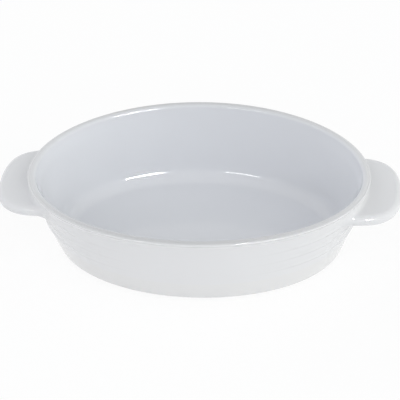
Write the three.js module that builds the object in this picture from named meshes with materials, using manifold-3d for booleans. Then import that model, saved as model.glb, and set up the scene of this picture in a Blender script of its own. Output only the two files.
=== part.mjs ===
// Oval stoneware baking dish with a flared lip, a ridged wall and a tab handle at each end.
// Millimetres, +Z up, the long way along X, the origin on the table under the middle of the dish.

import * as THREE from 'three';
import { mergeVertices } from 'three/addons/utils/BufferGeometryUtils.js';
import Module from 'manifold-3d';

const wasm = await Module();
wasm.setup();

// Whole dish
const rimLength = 258; // over the lip, along X
const rimWidth = 184; // over the lip, along Y
const dishHeight = 68; // table to the top of the lip

// Rim
const rimDepth = 15; // top of the lip to the seam with the side wall
const rimDip = 3; // the lip sinks this much towards the handles
const lipOuter = 0.9; // radius of the lip's tight outer edge
const lipInner = 3; // radius of its inner round
const lipTop = 2.3; // from the middle of the outer edge's round to the middle of the inner round
const lipSlope = 14; // degrees that the top falls outwards
const lipWrap = 40; // degrees that the outer edge goes on below its outermost line
const lipCove = 7; // height of the flare from the wall to the lip

// Side wall
const lipOverhang = 2.2; // the lip stands this far out past the top of the wall line
const wallDraft = 17.8; // the wall line leans in this much from the lip down to the table
const wallBulge = 1.7; // the wall line bows out this much at half height
const wallThickness = 5.2; // at the seam with the base
const ridgeDrop = 18.5; // top of the lip to the first ridge
const ridgePitch = 10.4;
const ridgeCount = 3;
const ridgeWidth = 4.6;
const ridgeRelief = 1; // at the ends of the oval
const ridgeFocus = 2; // higher keeps the ridges nearer to the ends

// Base
const baseHeight = 20; // table to the seam with the side wall
const floorThickness = 6.2;
const floorFillet = 10; // the inside curve runs this far out over the floor
const heelRound = 3; // outside curve from the wall to the underside

// Foot ring
const footHeight = 1.2;
const footMargin = 3; // heel curve to the foot ring
const footWidth = 6; // where it meets the base
const footTaper = 0.8; // each side is this much narrower on the table

// Handles
const handleReach = 28.8; // wall to tip
const handleWidth = 79;
const handleThickness = 9;
const handleDrop = 17.5; // top of the lip to the middle of the handle's thickness
const handleSquareness = 4; // 2 is a half ellipse, higher is squarer
const tipFlatness = 0.5; // 0 runs the tip parallel to the wall, 1 makes it straight
const handleFillet = 6; // hollow where the handle meets the wall

// Clearance, kept by a handle to the wall that it sits against
const seatGap = 0.3;

// Facets
const turnSteps = 72;
const lipSteps = 6;
const curveSteps = 6;
const tipSteps = 9;
const edgeSteps = 8;

const rimSeam = dishHeight - rimDepth;
const floorTop = footHeight + floorThickness;
const handleHeight = dishHeight - handleDrop;
const ridgeHeights = Array.from({ length: ridgeCount }, (_, i) => dishHeight - ridgeDrop - i * ridgePitch);

// The plain wall line: how far the outside of the wall stands in from the lip at a height.
function wallLine(height) {
  const fall = (dishHeight - height) / dishHeight;
  return lipOverhang + wallDraft * fall - 4 * wallBulge * fall * (1 - fall);
}

// How far the ridges stand out of the wall line at a height, each a smooth swelling one ridge width high.
function ridgeRise(height) {
  let rise = 0;
  for (const centre of ridgeHeights) {
    const away = (height - centre) / (ridgeWidth / 2);
    rise += ridgeRelief * Math.max(0, 1 - away * away) ** 2;
  }
  return rise;
}

// Profiles are lists of points (inset from the lip, height).
// On the ridged wall a point also has the ridges' rise.
function at(inset, height) {
  return new THREE.Vector2(inset, height);
}

function onWall(height) {
  return new THREE.Vector3(wallLine(height), height, ridgeRise(height));
}

// The inside of the wall: straight from the seam with the base up to the lip's inner round, which it touches
// without a crease.
const lipCentre = at(lipOuter + lipTop, dishHeight - lipInner);
const wallFoot = at(wallLine(baseHeight) + wallThickness, baseHeight);
const footward = wallFoot.clone().sub(lipCentre);
const lipEnd = footward.angle() + Math.acos(lipInner / footward.length()) - 2 * Math.PI;
const lipEdge = at(lipCentre.x + lipInner * Math.cos(lipEnd), lipCentre.y + lipInner * Math.sin(lipEnd));

function insideLine(height) {
  return THREE.MathUtils.mapLinear(height, baseHeight, lipEdge.y, wallFoot.x, lipEdge.x);
}

// Underside and heel, from under the floor out and up to the seam with the side wall.
function heelProfile() {
  const corner = at(wallLine(footHeight), footHeight);
  const start = at(corner.x + heelRound, footHeight);
  const endHeight = footHeight + heelRound;
  const heel = new THREE.QuadraticBezierCurve(start, corner, at(wallLine(endHeight), endHeight));
  const midHeight = (endHeight + baseHeight) / 2;
  const rise = [at(wallLine(midHeight), midHeight), onWall(baseHeight)];
  return [...heel.getPoints(curveSteps), ...rise];
}

// Outside of the side wall, from seam to seam, with points where the ridges bend it.
function ridgeProfile() {
  const bends = [-1, -0.5, 0, 0.5, 1].map((step) => step * ridgeWidth / 2);
  const heights = ridgeHeights.flatMap((centre) => bends.map((bend) => centre + bend));
  heights.sort((low, high) => low - high);
  const least = ridgeWidth / 8;
  const kept = [baseHeight];
  for (const height of heights) {
    if (height - kept.at(-1) > least && rimSeam - height > least) {
      kept.push(height);
    }
  }
  kept.push(rimSeam);
  return kept.map(onWall);
}

// The lip: its outer edge from below, the top rising inwards, and the inner round.
function lipProfile() {
  const under = Math.PI * (1 + lipWrap / 180);
  const slope = lipSlope * Math.PI / 180;
  const top = Math.PI / 2 + slope;
  const fall = (lipTop * Math.sin(slope) + lipOuter - lipInner) / Math.cos(slope);
  const edge = at(lipOuter, lipCentre.y - fall);
  const below = new THREE.EllipseCurve(edge.x, edge.y, lipOuter, lipOuter, under, Math.PI, true);
  const above = new THREE.EllipseCurve(edge.x, edge.y, lipOuter, lipOuter, Math.PI, top, true);
  const { x, y } = lipCentre;
  const rise = new THREE.EllipseCurve(x, y, lipInner, lipInner, top, Math.PI / 2, true);
  const inner = new THREE.EllipseCurve(x, y, lipInner, lipInner, Math.PI / 2, lipEnd, true);
  const outside = [...below.getPoints(2), ...above.getPoints(4).slice(1), ...rise.getPoints(2)];
  return [...outside, ...inner.getPoints(lipSteps).slice(1)];
}

const lip = lipProfile();
const coveHeight = lip[0].y - lipCove;

// Outside of the rim, from its seam up the flare to the lip, which the flare touches without a crease.
function rimProfile() {
  const midHeight = (rimSeam + coveHeight) / 2;
  const foot = at(wallLine(coveHeight), coveHeight);
  const bend = at(foot.x, lip[0].y - (foot.x - lip[0].x) / Math.tan(lipWrap * Math.PI / 180));
  const cove = new THREE.QuadraticBezierCurve(foot, bend, lip[0]).getPoints(curveSteps);
  return [onWall(rimSeam), at(wallLine(midHeight), midHeight), ...cove.slice(0, -1), ...lip];
}

// Inside of the base, from the seam with the side wall down to the flat of the floor.
function floorProfile() {
  const corner = at(insideLine(floorTop), floorTop);
  const start = at(insideLine(baseHeight), baseHeight);
  const end = at(corner.x + floorFillet, floorTop);
  return new THREE.QuadraticBezierCurve(start, corner, end).getPoints(curveSteps);
}

// A closed mesh from rows of points. Every row closes on itself. The rows close on each other as a ring does,
// or are capped at both ends by a fan from a point.
function skin(rows, caps) {
  const steps = rows[0].length;
  const corners = rows.flat();
  const faces = [];
  const pairs = caps ? rows.length - 1 : rows.length;
  for (let j = 0; j < pairs; j += 1) {
    const row = j * steps;
    const next = ((j + 1) % rows.length) * steps;
    for (let i = 0; i < steps; i += 1) {
      const k = (i + 1) % steps;
      faces.push(row + i, row + k, next + k);
      faces.push(row + i, next + k, next + i);
    }
  }
  if (caps) {
    const first = corners.push(caps[0]) - 1;
    const last = corners.push(caps[1]) - 1;
    const end = (rows.length - 1) * steps;
    for (let i = 0; i < steps; i += 1) {
      const k = (i + 1) % steps;
      faces.push(first, k, i);
      faces.push(last, end + i, end + k);
    }
  }
  const geometry = new THREE.BufferGeometry().setFromPoints(corners);
  geometry.setIndex(faces);
  geometry.computeVertexNormals();
  return geometry;
}

// A profile carried round the oval. At every height the oval's two half axes shrink by the same inset.
// Above the rim's seam it sinks towards the two ends. The ridges die out towards the middle of the sides.
function ovalRows(profile) {
  return profile.map((point) => Array.from({ length: turnSteps }, (_, i) => {
    const turn = 2 * Math.PI * i / turnSteps;
    const endward = Math.cos(turn) ** 2;
    const inset = point.x - (point.z ?? 0) * endward ** ridgeFocus;
    const x = (rimLength / 2 - inset) * Math.cos(turn);
    const y = (rimWidth / 2 - inset) * Math.sin(turn);
    const sunk = rimDip * THREE.MathUtils.smoothstep(point.y, rimSeam, lip[0].y);
    return new THREE.Vector3(x, y, point.y - sunk * endward);
  }));
}

function ovalRing(profile) {
  return skin(ovalRows(profile), null);
}

function ovalSolid(profile) {
  const caps = [new THREE.Vector3(0, 0, profile[0].y), new THREE.Vector3(0, 0, profile.at(-1).y)];
  return skin(ovalRows(profile), caps);
}

// Where the plain wall's outside lies along X, at a distance from the long axis and a height.
function wallReach(across, height) {
  const inset = wallLine(height);
  const share = across / (rimWidth / 2 - inset);
  return (rimLength / 2 - inset) * Math.sqrt(1 - share * share);
}

// One section of the handle: a flat loop with round sides, a given reach out of the wall. It leans and bends
// with the wall near the root, and flattens towards the tip.
function handleRow(reach, halfWidth, halfThickness) {
  const round = Math.min(halfWidth, halfThickness);
  const flat = halfWidth - round;
  const loop = [];
  for (const side of [1, -1]) {
    for (let i = 0; i <= edgeSteps; i += 1) {
      const angle = Math.PI * (i / edgeSteps - 0.5);
      loop.push(at(side * (flat + round * Math.cos(angle)), side * halfThickness * Math.sin(angle)));
    }
    for (let i = 1; i < edgeSteps; i += 1) {
      loop.push(at(side * flat * (1 - 2 * i / edgeSteps), side * halfThickness));
    }
  }
  const rooted = THREE.MathUtils.clamp(1 - reach / handleFillet, 0, 1);
  const out = Math.max(reach, 0) / handleReach;
  return loop.map((point) => {
    const bend = wallReach(0, handleHeight) - wallReach(point.x, handleHeight);
    const lean = wallReach(0, handleHeight + point.y) - wallReach(0, handleHeight);
    const x = wallReach(0, handleHeight) - bend * (1 - tipFlatness * out) + lean * rooted + reach;
    return new THREE.Vector3(x, point.x, handleHeight + point.y);
  });
}

// Half the handle's width at a reach: a superellipse from the wall to the tip.
function handleHalfWidth(reach) {
  const share = reach / handleReach;
  return handleWidth / 2 * (1 - share ** handleSquareness) ** (1 / handleSquareness);
}

// The handle's blank at the +X end: a root through the wall, the hollow fillet, then a superellipse in plan
// with full round edges.
function handleBlank() {
  const halfThickness = handleThickness / 2;
  const power = 2 / handleSquareness;
  const rows = [handleRow(-wallThickness, handleWidth / 2 + handleFillet, halfThickness + handleFillet)];
  for (let i = 0; i <= curveSteps; i += 1) {
    const angle = Math.PI / 2 * i / curveSteps;
    const reach = handleFillet * (1 - Math.cos(angle));
    const flare = handleFillet * (1 - Math.sin(angle));
    rows.push(handleRow(reach, handleHalfWidth(reach) + flare, halfThickness + flare));
  }
  const filletEnd = Math.asin((handleFillet / handleReach) ** (1 / power));
  for (let i = 1; i < tipSteps; i += 1) {
    const angle = THREE.MathUtils.lerp(filletEnd, Math.PI / 2, i / tipSteps);
    const reach = handleReach * Math.sin(angle) ** power;
    const past = Math.max(0, reach - handleReach + halfThickness);
    const edge = Math.sqrt(halfThickness * halfThickness - past * past);
    rows.push(handleRow(reach, handleHalfWidth(reach), edge));
  }
  const middle = wallReach(0, handleHeight);
  const root = new THREE.Vector3(middle - wallThickness, 0, handleHeight);
  const tip = new THREE.Vector3(middle + handleReach, 0, handleHeight);
  return skin(rows, [root, tip]);
}

function toSolid(geometry) {
  const bare = geometry.clone();
  bare.deleteAttribute('normal');
  const merged = mergeVertices(bare);
  const vertProperties = new Float32Array(merged.attributes.position.array);
  const triVerts = new Uint32Array(merged.index.array);
  return new wasm.Manifold(new wasm.Mesh({ numProp: 3, vertProperties, triVerts }));
}

function toGeometry(solid) {
  const mesh = solid.getMesh();
  const geometry = new THREE.BufferGeometry();
  geometry.setAttribute('position', new THREE.BufferAttribute(new Float32Array(mesh.vertProperties), 3));
  geometry.setIndex(new THREE.BufferAttribute(new Uint32Array(mesh.triVerts), 1));
  geometry.computeVertexNormals();
  return geometry;
}

const heel = heelProfile();
const ridges = ridgeProfile();
const rim = rimProfile();
const floor = floorProfile();
const wallHead = at(insideLine(rimSeam), rimSeam);
const waistHeight = (rimSeam + coveHeight) / 2;
const rimWaist = at(insideLine(waistHeight), waistHeight);

// The handle is cut to sit against the whole outside of the dish, with its clearance.
function handleGeometry() {
  const outside = [...heel, ...ridges.slice(1), ...rim.slice(1, -lipSteps)];
  for (const [i, point] of outside.entries()) {
    outside[i] = point.clone().setX(point.x - seatGap);
  }
  const dish = ovalSolid(outside);
  return toGeometry(toSolid(handleBlank()).subtract(toSolid(dish)));
}

function footProfile() {
  const outer = wallLine(footHeight) + heelRound + footMargin;
  const inner = outer + footWidth;
  return [at(inner - footTaper, 0), at(outer + footTaper, 0), at(outer, footHeight), at(inner, footHeight)];
}

function glaze(colour) {
  return new THREE.MeshStandardMaterial({ color: colour, roughness: 0.14, metalness: 0 });
}

function bareClay() {
  return new THREE.MeshStandardMaterial({ color: 0xd8d0c2, roughness: 0.85, metalness: 0 });
}

function piece(name, geometry, material) {
  const mesh = new THREE.Mesh(geometry, material);
  mesh.name = name;
  return mesh;
}

const insideGlaze = 0xe6e9ed;
const outsideGlaze = 0xeceded;
const handle = handleGeometry();
const dish = new THREE.Group();
dish.add(piece('foot_ring', ovalRing(footProfile()), bareClay()));
dish.add(piece('base', ovalSolid([...heel, ...floor]), glaze(insideGlaze)));
dish.add(piece('side_wall', ovalRing([...ridges, wallHead, wallFoot]), glaze(outsideGlaze)));
dish.add(piece('rim', ovalRing([...rim, rimWaist, wallHead]), glaze(outsideGlaze)));
dish.add(piece('right_handle', handle, glaze(outsideGlaze)));
const farEnd = new THREE.Group();
farEnd.rotation.z = Math.PI;
farEnd.add(piece('left_handle', handle, glaze(outsideGlaze)));
dish.add(farEnd);

export default dish;
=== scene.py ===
import math

import bmesh
import bpy
import numpy as np
from mathutils import Matrix, Vector


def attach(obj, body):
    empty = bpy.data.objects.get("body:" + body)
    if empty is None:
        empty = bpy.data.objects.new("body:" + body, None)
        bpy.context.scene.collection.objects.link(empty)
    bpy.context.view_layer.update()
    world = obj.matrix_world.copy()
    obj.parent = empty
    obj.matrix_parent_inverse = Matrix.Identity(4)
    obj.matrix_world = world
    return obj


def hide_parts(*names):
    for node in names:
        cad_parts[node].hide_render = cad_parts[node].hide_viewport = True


# Oval stoneware baking dish with a flared lip, a ridged wall and a tab handle at each end.
# Sizes are in millimetres and go to metres where a mesh is made. +Z is up, the long way is along X.

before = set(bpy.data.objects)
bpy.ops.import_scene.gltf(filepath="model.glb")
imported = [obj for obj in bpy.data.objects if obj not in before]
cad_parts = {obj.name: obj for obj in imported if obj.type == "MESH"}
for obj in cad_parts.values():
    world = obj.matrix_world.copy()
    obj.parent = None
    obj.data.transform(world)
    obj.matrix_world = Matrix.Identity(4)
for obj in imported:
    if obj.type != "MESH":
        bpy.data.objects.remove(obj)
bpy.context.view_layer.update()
print("frame loaded")

metre = 0.001
upright = math.pi / 2
turnSteps = 480  # points round the oval
turn = np.linspace(0, 2 * math.pi, turnSteps, endpoint=False)
endward = np.cos(turn) ** 2  # 1 at the two ends of the oval, 0 half way along its sides
edgeStrip = 0.06  # narrow strip beside a seam, so that both sides of it shade alike


def bezier(start, corner, end, steps):
    # Quadratic curve: start, corner and end weighted by (1-t)^2, 2t(1-t) and t^2.
    t = np.linspace(0, 1, steps)[:, None]
    start, corner, end = (np.array(p, float) for p in (start, corner, end))
    return start * (1 - t) ** 2 + corner * 2 * t * (1 - t) + end * t ** 2


def bothEnds(low, high, steps):
    # Even steps from low to high, with a narrow strip at each end.
    strip = math.copysign(edgeStrip, high - low)
    return np.concatenate([[low], np.linspace(low + strip, high - strip, steps), [high]])


def smoothMesh(name, points, faces, sharpRows=None, rowLength=0):
    # A smooth-shaded mesh object. Edges that run along a row in sharpRows keep their crease.
    mesh = bpy.data.meshes.new(name)
    mesh.from_pydata(points * metre, [], faces)
    mesh.update()
    mesh.polygons.foreach_set("use_smooth", np.ones(len(mesh.polygons), bool))
    if sharpRows is not None:
        ends = np.empty(len(mesh.edges) * 2, np.int32)
        mesh.edges.foreach_get("vertices", ends)
        rows = ends.reshape(-1, 2) // rowLength
        sharp = (rows[:, 0] == rows[:, 1]) & np.isin(rows[:, 0], sharpRows)
        mesh.attributes.new("sharp_edge", "BOOLEAN", "EDGE").data.foreach_set("value", sharp)
    piece = bpy.data.objects.new(name, mesh)
    bpy.context.scene.collection.objects.link(piece)
    return piece


def gridFaces(rows, columns, closeRows):
    # Quads between neighbouring rows. Columns close on themselves, and rows do if closeRows is set.
    row = np.arange(rows if closeRows else rows - 1)[:, None]
    column = np.arange(columns)[None, :]
    nextRow = (row + 1) % rows
    nextColumn = (column + 1) % columns
    quads = np.stack([row * columns + column, row * columns + nextColumn,
                      nextRow * columns + nextColumn, nextRow * columns + column], -1)
    return quads.reshape(-1, 4)


def sinking(height):
    # How far a level sinks at the two ends: nothing up to the rim's seam, then smoothly all of the dip
    # at the lip, as 3 s^2 - 2 s^3 of the share s of the way.
    share = np.clip((height - rimSeam) / (lipFoot - rimSeam), 0, 1)
    return rim["dip"] * share * share * (3 - 2 * share)


def insetOval(profile, rise=0):
    # A profile point (inset from the lip, height) shrinks both half axes of the rim by its inset,
    # x = (a - inset) cos turn and y = (b - inset) sin turn, and sinks by the square of cos turn.
    # A rise stands out of the wall, in full at the ends, and dies out towards the middle of the sides.
    profile = np.asarray(profile)
    inset = profile[:, :1] - np.broadcast_to(rise, len(profile))[:, None] * endward ** ridge["focus"]
    x = (rim["length"] / 2 - inset) * np.cos(turn)
    y = (rim["width"] / 2 - inset) * np.sin(turn)
    z = profile[:, 1:] - np.outer(sinking(profile[:, 1]), endward)
    return np.stack([x, y, z], -1)


def setMask(piece, name, values):
    # A value for each point, which the glaze reads by name.
    mask = piece.data.attributes.new(name, "FLOAT", "POINT")
    mask.data.foreach_set("value", values.astype(np.float32))


# Sizes and profile of the dish, which its sections share

rim = {"length": 258, "width": 184, "height": 68, "depth": 15, "dip": 3,
       "outer": 0.9, "inner": 3, "top": 2.3, "slope": 14, "wrap": 40, "cove": 7, "hollow": 0.2}
wall = {"overhang": 2.2, "draft": 17.8, "bulge": 1.7, "thickness": 5.2}
ridge = {"drop": 18.5, "pitch": 10.4, "count": 3, "width": 4.6, "relief": 1, "focus": 2}
base = {"height": 20, "floor": 6.2, "fillet": 10, "heel": 3}

rimSeam = rim["height"] - rim["depth"]
lipSlope, lipWrap = math.radians(rim["slope"]), math.radians(rim["wrap"])
lipCentre = np.array([rim["outer"] + rim["top"], rim["height"] - rim["inner"]])
lipFall = (rim["top"] * math.sin(lipSlope) + rim["outer"] - rim["inner"]) / math.cos(lipSlope)
edgeCentre = np.array([rim["outer"], lipCentre[1] - lipFall])
lipFoot = edgeCentre[1] - rim["outer"] * math.sin(lipWrap)
coveHeight = lipFoot - rim["cove"]


def wallLine(height):
    # Inset of the plain wall: leans in evenly towards the table and bows out in the middle.
    fall = (rim["height"] - height) / rim["height"]
    return wall["overhang"] + wall["draft"] * fall - 4 * wall["bulge"] * fall * (1 - fall)


def ridgeRise(height):
    # How far the ridges stand out of the wall, each a bump (1 - u^2)^2 across its width.
    height = np.asarray(height, float)
    centres = rim["height"] - ridge["drop"] - ridge["pitch"] * np.arange(ridge["count"])
    u = (height[..., None] - centres) / (ridge["width"] / 2)
    return ridge["relief"] * (np.clip(1 - u * u, 0, None) ** 2).sum(-1)


# The inside of the wall is straight from the seam with the base up to the lip's inner round, which it touches
# without a crease.
wallFoot = np.array([wallLine(base["height"]) + wall["thickness"], base["height"]])
footward = wallFoot - lipCentre
lipEnd = math.atan2(footward[1], footward[0]) + math.acos(rim["inner"] / math.hypot(*footward))
lipEdge = lipCentre + rim["inner"] * np.array([math.cos(lipEnd), math.sin(lipEnd)])


def insideLine(height):
    # Inset of the inside: straight from the lip to the seam, and carried on straight below it.
    return np.interp(height, [0, base["height"], lipEdge[1]], insideKnots)


insideSlope = (lipEdge[0] - wallFoot[0]) / (lipEdge[1] - wallFoot[1])
insideKnots = [wallFoot[0] - insideSlope * base["height"], wallFoot[0], lipEdge[0]]


# Materials

# The darker tint below is painted shade, for the lip's top and the ridges' lower flanks.
glazeLook = {"colour": (0.76, 0.76, 0.76), "outsideColour": (0.757, 0.76, 0.77),
             "coolLightColour": (0.735, 0.748, 0.778), "shadeTint": (0.74, 0.74, 0.74),
             "cloud": 0.03, "cloudsPerMetre": 28, "cloudRange": (0.3, 0.7), "cloudTint": (0.80, 0.79, 0.77),
             "pitsPerMetre": 130, "pitShare": 0.03, "pitTint": (0.52, 0.48, 0.43), "pitEdge": (0.05, 0.02),
             "wave": 0.1, "wavesPerMetre": 45, "waveDepth": 0.0006, "roughness": (0.04, 0.09), "ior": 1.6}
clayLook = {"colour": (0.70, 0.64, 0.55), "grainColour": (0.52, 0.45, 0.36), "grainsPerMetre": 900,
            "grainRange": (0.32, 0.62), "grainDepth": 0.0002, "grain": 0.6, "roughness": 0.85}


def glazeGroup():
    # Shared look of the glaze: a cooler tint painted on the inside, standing in for the cooler light there;
    # painted shade along the lip's top and on the lower flanks of the ridges; faintly cloudy and a little
    # uneven.
    group = bpy.data.node_groups.new("glazeLook", "ShaderNodeTree")
    plain = (1, 1, 1, 1)
    for name, kind, value in (("Colour", "Color", plain), ("Cool Light Colour", "Color", plain),
                              ("Cool Light", "Float", 0), ("Painted Shade", "Float", 0),
                              ("Cloud", "Float", glazeLook["cloud"]), ("Wave", "Float", glazeLook["wave"])):
        socket = group.interface.new_socket(name, in_out="INPUT", socket_type="NodeSocket" + kind)
        socket.default_value = value
    for name, kind in (("Colour", "Color"), ("Roughness", "Float"), ("Normal", "Vector")):
        group.interface.new_socket(name, in_out="OUTPUT", socket_type="NodeSocket" + kind)
    add, link = group.nodes.new, group.links.new
    inputs, outputs = add("NodeGroupInput"), add("NodeGroupOutput")
    place = add("ShaderNodeTexCoord")

    # Painted cool light: the inside's colour swapped for a cooler tint as the mask asks.
    coolLit = add("ShaderNodeMix")
    coolLit.data_type = "RGBA"
    link(inputs.outputs["Cool Light"], coolLit.inputs["Factor"])
    link(inputs.outputs["Colour"], coolLit.inputs["A"])
    link(inputs.outputs["Cool Light Colour"], coolLit.inputs["B"])

    # Painted shade: the colour darkened by the shade tint where the mask asks for it.
    shadeMix = add("ShaderNodeMix")
    shadeMix.data_type = "RGBA"
    shadeMix.blend_type = "MULTIPLY"
    shadeMix.inputs["B"].default_value = (*glazeLook["shadeTint"], 1)
    link(inputs.outputs["Painted Shade"], shadeMix.inputs["Factor"])
    link(coolLit.outputs["Result"], shadeMix.inputs["A"])

    cloud = add("ShaderNodeTexNoise")
    cloud.inputs["Scale"].default_value = glazeLook["cloudsPerMetre"]
    cloud.inputs["Detail"].default_value = 4
    link(place.outputs["Object"], cloud.inputs["Vector"])
    shade = add("ShaderNodeMapRange")
    shade.inputs["From Min"].default_value, shade.inputs["From Max"].default_value = glazeLook["cloudRange"]
    shade.inputs["To Min"].default_value = 0
    link(cloud.outputs["Fac"], shade.inputs["Value"])
    link(inputs.outputs["Cloud"], shade.inputs["To Max"])
    darker = add("ShaderNodeMix")
    darker.data_type = "RGBA"
    darker.blend_type = "MULTIPLY"
    darker.inputs["B"].default_value = (*glazeLook["cloudTint"], 1)
    link(shade.outputs["Result"], darker.inputs["Factor"])
    link(shadeMix.outputs["Result"], darker.inputs["A"])

    pits = add("ShaderNodeTexVoronoi")  # pin holes: a few tiny dark specks
    pits.inputs["Scale"].default_value = glazeLook["pitsPerMetre"]
    pits.inputs["Randomness"].default_value = 1
    link(place.outputs["Object"], pits.inputs["Vector"])
    chance = add("ShaderNodeSeparateColor")
    link(pits.outputs["Color"], chance.inputs["Color"])
    rare = add("ShaderNodeMath")
    rare.operation = "LESS_THAN"
    rare.inputs[1].default_value = glazeLook["pitShare"]
    link(chance.outputs["Red"], rare.inputs[0])
    near = add("ShaderNodeMapRange")
    near.inputs["From Min"].default_value, near.inputs["From Max"].default_value = glazeLook["pitEdge"]
    link(pits.outputs["Distance"], near.inputs["Value"])
    speck = add("ShaderNodeMath")
    speck.operation = "MULTIPLY"
    link(rare.outputs["Value"], speck.inputs[0])
    link(near.outputs["Result"], speck.inputs[1])
    specked = add("ShaderNodeMix")
    specked.data_type = "RGBA"
    specked.inputs["B"].default_value = (*glazeLook["pitTint"], 1)
    link(speck.outputs["Value"], specked.inputs["Factor"])
    link(darker.outputs["Result"], specked.inputs["A"])
    link(specked.outputs["Result"], outputs.inputs["Colour"])

    rough = add("ShaderNodeMapRange")
    rough.inputs["To Min"].default_value, rough.inputs["To Max"].default_value = glazeLook["roughness"]
    link(cloud.outputs["Fac"], rough.inputs["Value"])
    link(rough.outputs["Result"], outputs.inputs["Roughness"])

    wave = add("ShaderNodeTexNoise")  # slow unevenness of the melted glaze
    wave.inputs["Scale"].default_value = glazeLook["wavesPerMetre"]
    wave.inputs["Detail"].default_value = 1
    link(place.outputs["Object"], wave.inputs["Vector"])
    bump = add("ShaderNodeBump")
    bump.inputs["Distance"].default_value = glazeLook["waveDepth"]
    link(inputs.outputs["Wave"], bump.inputs["Strength"])
    link(wave.outputs["Fac"], bump.inputs["Height"])
    link(bump.outputs["Normal"], outputs.inputs["Normal"])
    return group


def glazeMaterial(name, colour):
    # A gloss coat of one colour with the shared look, steered by the masks of the piece.
    material = bpy.data.materials.new(name)
    material.use_nodes = True
    tree = material.node_tree
    shader = tree.nodes["Principled BSDF"]
    look = tree.nodes.new("ShaderNodeGroup")
    look.node_tree = glaze
    look.inputs["Colour"].default_value = (*colour, 1)
    look.inputs["Cool Light Colour"].default_value = (*glazeLook["coolLightColour"], 1)
    # The masks carry the cooler tint painted on the inside and the painted shade.
    for mask, socket in (("cool_light", "Cool Light"), ("painted_shade", "Painted Shade")):
        attribute = tree.nodes.new("ShaderNodeAttribute")
        attribute.attribute_name = mask
        tree.links.new(attribute.outputs["Fac"], look.inputs[socket])
    tree.links.new(look.outputs["Colour"], shader.inputs["Base Color"])
    tree.links.new(look.outputs["Roughness"], shader.inputs["Roughness"])
    tree.links.new(look.outputs["Normal"], shader.inputs["Normal"])
    shader.inputs["IOR"].default_value = glazeLook["ior"]
    return material


def clayMaterial(name):
    # Unglazed stoneware: sandy grain in colour and bump.
    material = bpy.data.materials.new(name)
    material.use_nodes = True
    tree = material.node_tree
    shader = tree.nodes["Principled BSDF"]
    add, link = tree.nodes.new, tree.links.new
    place = add("ShaderNodeTexCoord")
    grain = add("ShaderNodeTexNoise")
    grain.inputs["Scale"].default_value = clayLook["grainsPerMetre"]
    grain.inputs["Detail"].default_value = 5
    link(place.outputs["Object"], grain.inputs["Vector"])
    tint = add("ShaderNodeValToRGB")
    stops = tint.color_ramp.elements
    stops[0].position, stops[1].position = clayLook["grainRange"]
    stops[0].color = (*clayLook["grainColour"], 1)
    stops[1].color = (*clayLook["colour"], 1)
    link(grain.outputs["Fac"], tint.inputs["Fac"])
    link(tint.outputs["Color"], shader.inputs["Base Color"])
    bump = add("ShaderNodeBump")
    bump.inputs["Distance"].default_value = clayLook["grainDepth"]
    bump.inputs["Strength"].default_value = clayLook["grain"]
    link(grain.outputs["Fac"], bump.inputs["Height"])
    link(bump.outputs["Normal"], shader.inputs["Normal"])
    shader.inputs["Roughness"].default_value = clayLook["roughness"]
    return material


glaze = glazeGroup()
insideGlaze = glazeMaterial("insideGlaze", glazeLook["colour"])
outsideGlaze = glazeMaterial("outsideGlaze", glazeLook["outsideColour"])
bareClay = clayMaterial("bareClay")
print("materials made")


def finishPiece(piece, node, material):
    # Gives a piece its material, hides the node that it stands for and hangs the piece under the dish's root
    # body.
    piece.data.materials.append(material)
    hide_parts(node)
    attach(piece, "root")
    print("made", piece.name, len(piece.data.polygons), "faces")


def ovalRing(name, outside, inside, creased, rise=0, fade=1):
    # A closed ring from an outside profile going up and an inside profile coming down. The cooler tint
    # painted on the inside, standing in for the cooler light there, sets in over the last rows of the
    # outside, fade of them.
    profile = np.concatenate([outside, inside])
    rise = np.concatenate([np.broadcast_to(rise, len(outside)), np.zeros(len(inside))])
    faces = gridFaces(len(profile), turnSteps, True)
    ends = [0, len(outside) - 1, len(outside), len(profile) - 1] if creased is None else creased
    piece = smoothMesh(name, insetOval(profile, rise).reshape(-1, 3), faces, np.array(ends), turnSteps)
    # The inside takes the cooler tint, painted for the cooler light there.
    coolLit = np.clip((np.arange(len(profile)) - len(outside)) / fade + 1, 0, 1)
    setMask(piece, "cool_light", np.repeat(coolLit, turnSteps))
    return piece


# Rim: up the skirt and the hollow under the lip, round the lip, down the inside to the seam

rimRows = {"edge": 25, "crest": 7, "inner": 30, "top": 15, "cove": 20, "skirt": 16, "inside": 16, "band": 20}
edgeTurn = np.linspace(math.pi + lipWrap, upright + lipSlope, rimRows["edge"])
crestTurn = np.linspace(upright + lipSlope, upright, rimRows["crest"])
innerTurn = np.append(crestTurn, np.linspace(upright, lipEnd, rimRows["inner"] + 1)[1:])
edge = edgeCentre + rim["outer"] * np.stack([np.cos(edgeTurn), np.sin(edgeTurn)], -1)
innerRound = lipCentre + rim["inner"] * np.stack([np.cos(innerTurn), np.sin(innerTurn)], -1)
along = np.linspace(0, 1, rimRows["top"] + 2)[1:-1, None]
sag = rim["hollow"] * np.sin(math.pi * along) ** 2
offTop = np.array([-math.sin(lipSlope), math.cos(lipSlope)])
lipTop = edge[-1] + (innerRound[0] - edge[-1]) * along - sag * offTop
lip = np.concatenate([edge, lipTop, innerRound])
coveFoot = wallLine(coveHeight)
coveBend = lipFoot - (coveFoot - lip[0, 0]) / math.tan(lipWrap)
cove = bezier((coveFoot, coveHeight), (coveFoot, coveBend), lip[0], rimRows["cove"])
skirtHeights = bothEnds(rimSeam, coveHeight, rimRows["skirt"])[:-1]
skirt = np.stack([wallLine(skirtHeights), skirtHeights], -1)
lipInside = bothEnds(lip[-1, 1], rimSeam, rimRows["inside"])[1:]
rimInside = np.stack([insideLine(lipInside), lipInside], -1)
rimOutside = np.concatenate([skirt, cove[:-1], lip])
rimSkin = ovalRing("rim_glazed", rimOutside, rimInside, [0, len(rimOutside) + len(rimInside) - 1],
                   fade=len(innerRound))
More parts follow.
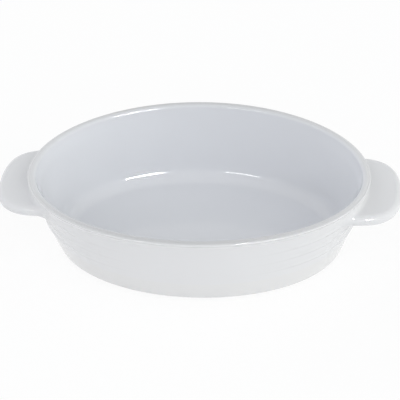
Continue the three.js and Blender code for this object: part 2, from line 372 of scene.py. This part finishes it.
# Painted shade: a band of darker colour along the lip's top, weaker at the ends.
fromCrest = np.arange(len(rimOutside) + len(rimInside)) - len(rimOutside) + len(innerRound)
crestShade = np.exp(-(fromCrest / rimRows["band"]) ** 2)  # a band of painted shade along the lip's top, by rows
endFade = 0.7  # how much weaker the painted shade on the lip is at the ends
setMask(rimSkin, "painted_shade", np.outer(crestShade, 1 - endFade * endward).ravel())
finishPiece(rimSkin, "rim", outsideGlaze)

# Side wall: the ridged outside, and the straight inside

wallRows = {"outside": 118, "inside": 24}
outHeights = bothEnds(base["height"], rimSeam, wallRows["outside"])
inHeights = bothEnds(rimSeam, base["height"], wallRows["inside"])
wallOutside = np.stack([wallLine(outHeights), outHeights], -1)
wallInside = np.stack([insideLine(inHeights), inHeights], -1)
wallSkin = ovalRing("side_wall_glazed", wallOutside, wallInside, None, ridgeRise(outHeights))
flank = np.clip(np.gradient(ridgeRise(outHeights), outHeights), 0, 1)  # painted shade on the lower flank of each ridge, where it faces down
flankShade = np.append(flank, np.zeros(len(inHeights)))
# Painted shade under the ridges, dying out towards the middle of the sides.
setMask(wallSkin, "painted_shade", np.outer(flankShade, endward ** ridge["focus"]).ravel())
finishPiece(wallSkin, "side_wall", outsideGlaze)

# Base: underside, heel and wall up to the seam, then the inside curve and the floor

foot = {"height": 1.2, "margin": 3, "width": 6, "taper": 0.8, "ease": 0.25, "round": 1}
baseRows = {"heel": 24, "wall": 20, "fillet": 60, "flat": 24}
underTop, floorTop = foot["height"], foot["height"] + base["floor"]
heelTop = underTop + base["heel"]
heelCorner = wallLine(underTop)
heelStart = (heelCorner + base["heel"], underTop)
heel = bezier(heelStart, (heelCorner, underTop), (wallLine(heelTop), heelTop), baseRows["heel"])
heelHeights = bothEnds(heelTop, base["height"], baseRows["wall"])[1:]
heelWall = np.stack([wallLine(heelHeights), heelHeights], -1)
floorCorner = insideLine(floorTop)
filletEnd = (floorCorner + base["fillet"], floorTop)
fillet = bezier(wallFoot, (floorCorner, floorTop), filletEnd, baseRows["fillet"])
firstStep = fillet[0] + (fillet[1] - fillet[0]) * edgeStrip
baseProfile = np.concatenate([heel, heelWall, fillet[:1], firstStep[None], fillet[1:]])
body = insetOval(baseProfile)
shrink = np.linspace(1, 0, baseRows["flat"] + 2)[1:-1, None, None]
level = np.array([1, 1, 0])
underPole, floorPole = np.array([0, 0, underTop]), np.array([0, 0, floorTop])
underside = body[0] * level * shrink[::-1] + underPole
floor = body[-1] * level * shrink + floorPole
levels = np.concatenate([underside, body, floor])
points = np.concatenate([levels.reshape(-1, 3), [underPole, floorPole]])
column = np.arange(turnSteps)
nextColumn = (column + 1) % turnSteps
lowPole, highPole = len(points) - 2, len(points) - 1
lastRow = (len(levels) - 1) * turnSteps
fans = np.concatenate([np.stack([np.full(turnSteps, lowPole), nextColumn, column], -1),
                       np.stack([np.full(turnSteps, highPole), lastRow + column, lastRow + nextColumn], -1)])
faces = gridFaces(len(levels), turnSteps, False).tolist() + fans.tolist()
seamRow = len(underside) + len(heel) + len(heelWall) - 1
baseSkin = smoothMesh("base_glazed", points, faces, np.array([seamRow, seamRow + 1]), turnSteps)
inside = np.repeat(np.arange(len(levels)) > seamRow, turnSteps)
# The inside of the base takes the cooler tint, painted for the cooler light there.
setMask(baseSkin, "cool_light", np.concatenate([inside, [0, 1]]))
finishPiece(baseSkin, "base", insideGlaze)

# Foot ring: a low bare ring with eased edges under the base

footOuter = heelCorner + base["heel"] + foot["margin"]
footInner = footOuter + foot["width"]
footRows = {"round": 8, "side": 6}
easeRise, easeTaper = foot["height"] * foot["ease"], foot["taper"] * (1 - foot["ease"])
outerFoot, innerFoot = np.array([[footOuter + foot["taper"], 0], [footInner - foot["taper"], 0]])
outerEase, innerEase = np.array([[footOuter + easeTaper, easeRise], [footInner - easeTaper, easeRise]])
outerTop, innerTop = np.array([[footOuter, foot["height"]], [footInner, foot["height"]]])
inward = np.array([foot["round"], 0])
footOutside = np.concatenate([bezier(outerFoot + inward, outerFoot, outerEase, footRows["round"]),
                              np.linspace(outerEase, outerTop, footRows["side"])[1:]])
footInside = np.concatenate([np.linspace(innerTop, innerEase, footRows["side"]),
                             bezier(innerEase, innerFoot, innerFoot - inward, footRows["round"])[1:]])
footSkin = ovalRing("foot_ring_bare", footOutside, footInside, [len(footOutside) - 1, len(footOutside)])
finishPiece(footSkin, "foot_ring", bareClay)


# Handles

handle = {"reach": 28.8, "width": 79, "thickness": 9, "drop": 17.5, "squareness": 4, "flatness": 0.5,
          "fillet": 6, "feather": 0.06, "spread": 2.2, "root": 1.2}
handleRows = {"hollow": 29, "tip": 60, "feather": 6, "flat": 24, "edge": 37}
handleHeight = rim["height"] - handle["drop"]


def wallReach(across, height):
    # Where the outside of the plain wall lies along X. A few rounds find the level that has sunk
    # to this height.
    level, rounds = height, 8
    for _ in range(rounds):
        inset = wallLine(level)
        share = across / (rim["width"] / 2 - inset)
        level = height + sinking(level) * (1 - share * share)
    return (rim["length"] / 2 - inset) * np.sqrt(1 - share * share)


def filletFlare(reach):
    # Round hollow at the root: the section grows by R - sqrt(R^2 - (R - reach)^2). Below the wall it
    # spreads on thinly.
    radius = handle["fillet"]
    past = np.clip(radius - reach, 0, radius)
    flare = radius - np.sqrt(np.clip(radius ** 2 - past ** 2, 0, None))
    return flare + np.clip(-reach, 0, handle["feather"]) / handle["feather"] * handle["spread"]


def handlePoints():
    # Plan: a superellipse core, offset by half the thickness, so that the edge is a full round of even
    # radius. Rows follow the outline from the root on +Y round the tip to the root on -Y. Columns go over
    # the top from the middle to the edge, round it, and back under it to the middle.
    half = handle["thickness"] / 2
    length = handle["reach"] - half
    width = handle["width"] / 2 - half
    power = handle["squareness"]
    hollow = handle["fillet"] * (1 - np.cos(np.linspace(0, upright, handleRows["hollow"])))
    start = math.asin((handle["fillet"] / length) ** (power / 2))
    tip = length * np.sin(np.linspace(start, upright, handleRows["tip"] + 1)[1:]) ** (2 / power)
    feather = -handle["feather"] * np.linspace(1, 0, handleRows["feather"] + 1)[:-1]
    reach = np.concatenate([[-handle["root"]], feather, hollow, tip])
    share = np.clip(reach / length, 0, 1)
    across = width * (1 - share ** power) ** (1 / power)
    slopeReach = share ** (power - 1) / length
    slopeAcross = (across / width) ** (power - 1) / width
    size = np.hypot(slopeReach, slopeAcross)
    reach, across = reach[:, None], across[:, None]
    slopeReach, slopeAcross = (slopeReach / size)[:, None], (slopeAcross / size)[:, None]

    flat = np.linspace(0, 1, handleRows["flat"] + 1)[None, :-1]
    angle = np.linspace(upright, -upright, handleRows["edge"])[None, :]
    outward = np.concatenate([np.zeros_like(flat), np.cos(angle), np.zeros_like(flat)], 1)
    upward = np.concatenate([np.ones_like(flat), np.sin(angle), -np.ones_like(flat)], 1)
    spread = np.concatenate([flat, np.ones_like(angle), flat[:, ::-1]], 1)
    pointReach = reach + slopeReach * half * outward
    flare = filletFlare(pointReach)
    y = across * spread + (slopeAcross * half + flare) * outward
    z = (half + flare) * upward
    y = np.concatenate([y, -y[-2::-1]])
    z = np.concatenate([z, z[-2::-1]])
    pointReach = np.concatenate([pointReach, pointReach[-2::-1]])
    outside = onDish(pointReach, y, z)

    side = len(flat[0]) + np.arange(angle.size)  # the root's face, buried in the wall and bent like it
    share = np.concatenate([spread[0, :len(flat[0]) + 1][::-1], -flat[0, 1:], [-1]])
    rootY = y[0, side][:, None] * share
    rootZ = z[0, side][:, None] * np.ones_like(share)
    return outside, onDish(np.full_like(rootY, -handle["root"]), rootY, rootZ)


def onDish(reach, across, rise):
    # From reach out of the wall, distance from the long axis and height over the handle's middle to X, Y
    # and Z. Lines across the handle bend like the wall, less so towards the tip, and in the hollow the
    # section leans with the wall.
    middle = wallReach(0, handleHeight)
    bend = middle - wallReach(across, handleHeight)
    lean = wallReach(across, handleHeight + rise) - wallReach(across, handleHeight)
    x = middle - bend * (1 - handle["flatness"] * np.clip(reach, 0, None) / handle["reach"])
    x = x + lean * np.clip(1 - reach / handle["fillet"], 0, 1) + reach
    return np.stack([x, across, handleHeight + rise], -1)


def patchFaces(rows, columns):
    # Quads of an open grid of points.
    row, column = np.meshgrid(np.arange(rows - 1), np.arange(columns - 1), indexing="ij")
    corner = row * columns + column
    return np.stack([corner, corner + 1, corner + columns + 1, corner + columns], -1).reshape(-1, 4)


def handleMesh(name, side):
    # The outside and the root's face, welded into one closed mesh. Side -1 turns it to the other end.
    weld = 1e-7
    outside, root = (patch * np.array([side, side, 1]) for patch in handlePoints())
    points = np.concatenate([outside.reshape(-1, 3), root.reshape(-1, 3)])
    faces = np.concatenate([patchFaces(*outside.shape[:2]), patchFaces(*root.shape[:2]) + outside.size // 3])
    mesh = bpy.data.meshes.new(name)
    mesh.from_pydata(points * metre, [], faces.tolist())
    work = bmesh.new()
    work.from_mesh(mesh)
    bmesh.ops.remove_doubles(work, verts=work.verts, dist=weld)
    bmesh.ops.recalc_face_normals(work, faces=work.faces)
    work.to_mesh(mesh)
    work.free()
    mesh.polygons.foreach_set("use_smooth", np.ones(len(mesh.polygons), bool))
    piece = bpy.data.objects.new(name, mesh)
    bpy.context.scene.collection.objects.link(piece)
    return piece


for name, node, side in (("handle_right_glazed", "right_handle", 1),
                         ("handle_left_glazed", "left_handle", -1)):
    finishPiece(handleMesh(name, side), node, outsideGlaze)


# Stage: a white sweep that the eye and the glaze see as white, and that still takes the dish's shadow

stage = {"paper": (0.96, 0.96, 0.96), "whiteShare": 0.9, "half": 4}
floorMaterial = bpy.data.materials.new("stageWhite")
floorMaterial.use_nodes = True
tree = floorMaterial.node_tree
tree.nodes.clear()
out = tree.nodes.new("ShaderNodeOutputMaterial")
paper = tree.nodes.new("ShaderNodeBsdfDiffuse")
paper.inputs["Color"].default_value = (*stage["paper"], 1)
white = tree.nodes.new("ShaderNodeEmission")
mix = tree.nodes.new("ShaderNodeMixShader")
path = tree.nodes.new("ShaderNodeLightPath")
seen = tree.nodes.new("ShaderNodeMath")
seen.operation = "MAXIMUM"
tree.links.new(path.outputs["Is Camera Ray"], seen.inputs[0])
tree.links.new(path.outputs["Is Glossy Ray"], seen.inputs[1])
share = tree.nodes.new("ShaderNodeMath")
share.operation = "MULTIPLY"
share.inputs[1].default_value = stage["whiteShare"]
tree.links.new(seen.outputs["Value"], share.inputs[0])
tree.links.new(share.outputs["Value"], mix.inputs["Fac"])
tree.links.new(paper.outputs["BSDF"], mix.inputs[1])
tree.links.new(white.outputs["Emission"], mix.inputs[2])
tree.links.new(mix.outputs["Shader"], out.inputs["Surface"])
floorMesh = bpy.data.meshes.new("stage_floor")
floorCorners = stage["half"] * np.array([(-1, -1, 0), (1, -1, 0), (1, 1, 0), (-1, 1, 0)])
floorMesh.from_pydata(floorCorners, [], [(0, 1, 2, 3)])
stageFloor = bpy.data.objects.new("stage_floor", floorMesh)
bpy.context.scene.collection.objects.link(stageFloor)
floorMesh.materials.append(floorMaterial)

world = bpy.data.worlds.new("studio")
bpy.context.scene.world = world
world.use_nodes = True
tree = world.node_tree
sky = tree.nodes["Background"]
path = tree.nodes.new("ShaderNodeLightPath")
seen = tree.nodes.new("ShaderNodeMath")
seen.operation = "MAXIMUM"
tree.links.new(path.outputs["Is Camera Ray"], seen.inputs[0])
tree.links.new(path.outputs["Is Glossy Ray"], seen.inputs[1])
tone = tree.nodes.new("ShaderNodeMix")
tone.data_type = "RGBA"
tone.inputs["B"].default_value = (1, 1, 1, 1)  # what the eye and the glaze see
tree.links.new(seen.outputs["Value"], tone.inputs["Factor"])
tree.links.new(tone.outputs["Result"], sky.inputs["Color"])


def around(side, rise, distance):
    # A place at an angle right of the front and a height angle over the middle of the dish.
    side, rise = math.radians(side), math.radians(rise)
    flat = distance * math.cos(rise)
    return (flat * math.sin(side), -flat * math.cos(side), distance * math.sin(rise))


# Broad soft lights from the left, the back left, over the front and the right fill the room: angle right of
# the front, angle over the table and colour. Each falls off with a power of the cosine to its middle.
glows = [(-90, 10, (0.66, 0.64, 0.62)), (-135, 10, (1.45, 1.51, 1.58)), (0, 45, (1.31, 1.33, 1.37)),
         (90, 10, (1.91, 1.93, 1.88))]
glowPower = 3
direction = tree.nodes.new("ShaderNodeTexCoord")
total = None
for side, rise, colour in glows:
    cosine = tree.nodes.new("ShaderNodeVectorMath")
    cosine.operation = "DOT_PRODUCT"
    cosine.inputs[1].default_value = around(side, rise, 1)
    tree.links.new(direction.outputs["Generated"], cosine.inputs[0])
    ahead = tree.nodes.new("ShaderNodeMath")
    ahead.operation = "MAXIMUM"
    ahead.inputs[1].default_value = 0
    tree.links.new(cosine.outputs["Value"], ahead.inputs[0])
    fall = tree.nodes.new("ShaderNodeMath")
    fall.operation = "POWER"
    fall.inputs[1].default_value = glowPower
    tree.links.new(ahead.outputs["Value"], fall.inputs[0])
    glow = tree.nodes.new("ShaderNodeVectorMath")
    glow.operation = "MULTIPLY_ADD"
    glow.inputs[0].default_value = colour
    tree.links.new(fall.outputs["Value"], glow.inputs[1])
    if total:
        tree.links.new(total.outputs["Vector"], glow.inputs[2])
    total = glow
tree.links.new(total.outputs["Vector"], tone.inputs["A"])

lampAim = Vector((0, 0, 0.04))  # inside the dish, in metres like the lamps


def softbox(name, place, width, height, power, onlyGlints=False):
    # An oblong lamp that looks at the dish. With onlyGlints it shows in the glaze and lights nothing else.
    lamp = bpy.data.lights.new(name, "AREA")
    lamp.shape = "RECTANGLE"
    lamp.size, lamp.size_y = width, height
    lamp.energy = power
    box = bpy.data.objects.new(name, lamp)
    box.location = Vector(place) + lampAim
    box.rotation_euler = (-Vector(place)).to_track_quat("-Z", "Y").to_euler()
    box.visible_diffuse = not onlyGlints
    bpy.context.scene.collection.objects.link(box)


softbox("keyStrip", around(26, 24, 1.4), width=0.5, height=0.12, power=1.1)
softbox("keyGlint", around(29, 24, 1.39), width=0.5, height=0.05, power=12, onlyGlints=True)
softbox("fillGlint", around(-23, 24, 1.4), width=0.4, height=0.1, power=1.25, onlyGlints=True)
print("stage and lamps made")

# Camera, as the photograph was taken
# scale: pixels to a millimetre at the middle of the dish, middle: its pixel, frame: the picture's width
view = {"distance": 1.040, "rise": 37.06, "turn": 5.94, "roll": -1.91, "scale": 1.308,
        "middle": (199.2, 203.97), "frame": 400, "sensor": 36}
camera = bpy.data.objects.new("camera", bpy.data.cameras.new("camera"))
bpy.context.scene.collection.objects.link(camera)
turned = (Matrix.Rotation(math.radians(view["turn"]), 4, "Z")
          @ Matrix.Rotation(math.radians(90 - view["rise"]), 4, "X")
          @ Matrix.Rotation(math.radians(view["roll"]), 4, "Z"))
aim = Vector((0, 0, rim["height"] * metre / 2))
camera.matrix_world = Matrix.Translation(aim + turned.to_3x3() @ Vector((0, 0, view["distance"]))) @ turned
camera.data.sensor_width = view["sensor"]
camera.data.lens = view["sensor"] * view["scale"] * view["distance"] / metre / view["frame"]
camera.data.shift_x = (view["frame"] / 2 - view["middle"][0]) / view["frame"]
camera.data.shift_y = (view["middle"][1] - view["frame"] / 2) / view["frame"]
bpy.context.scene.camera = camera
bpy.context.scene.view_settings.view_transform = "Standard"

print("scene ready")
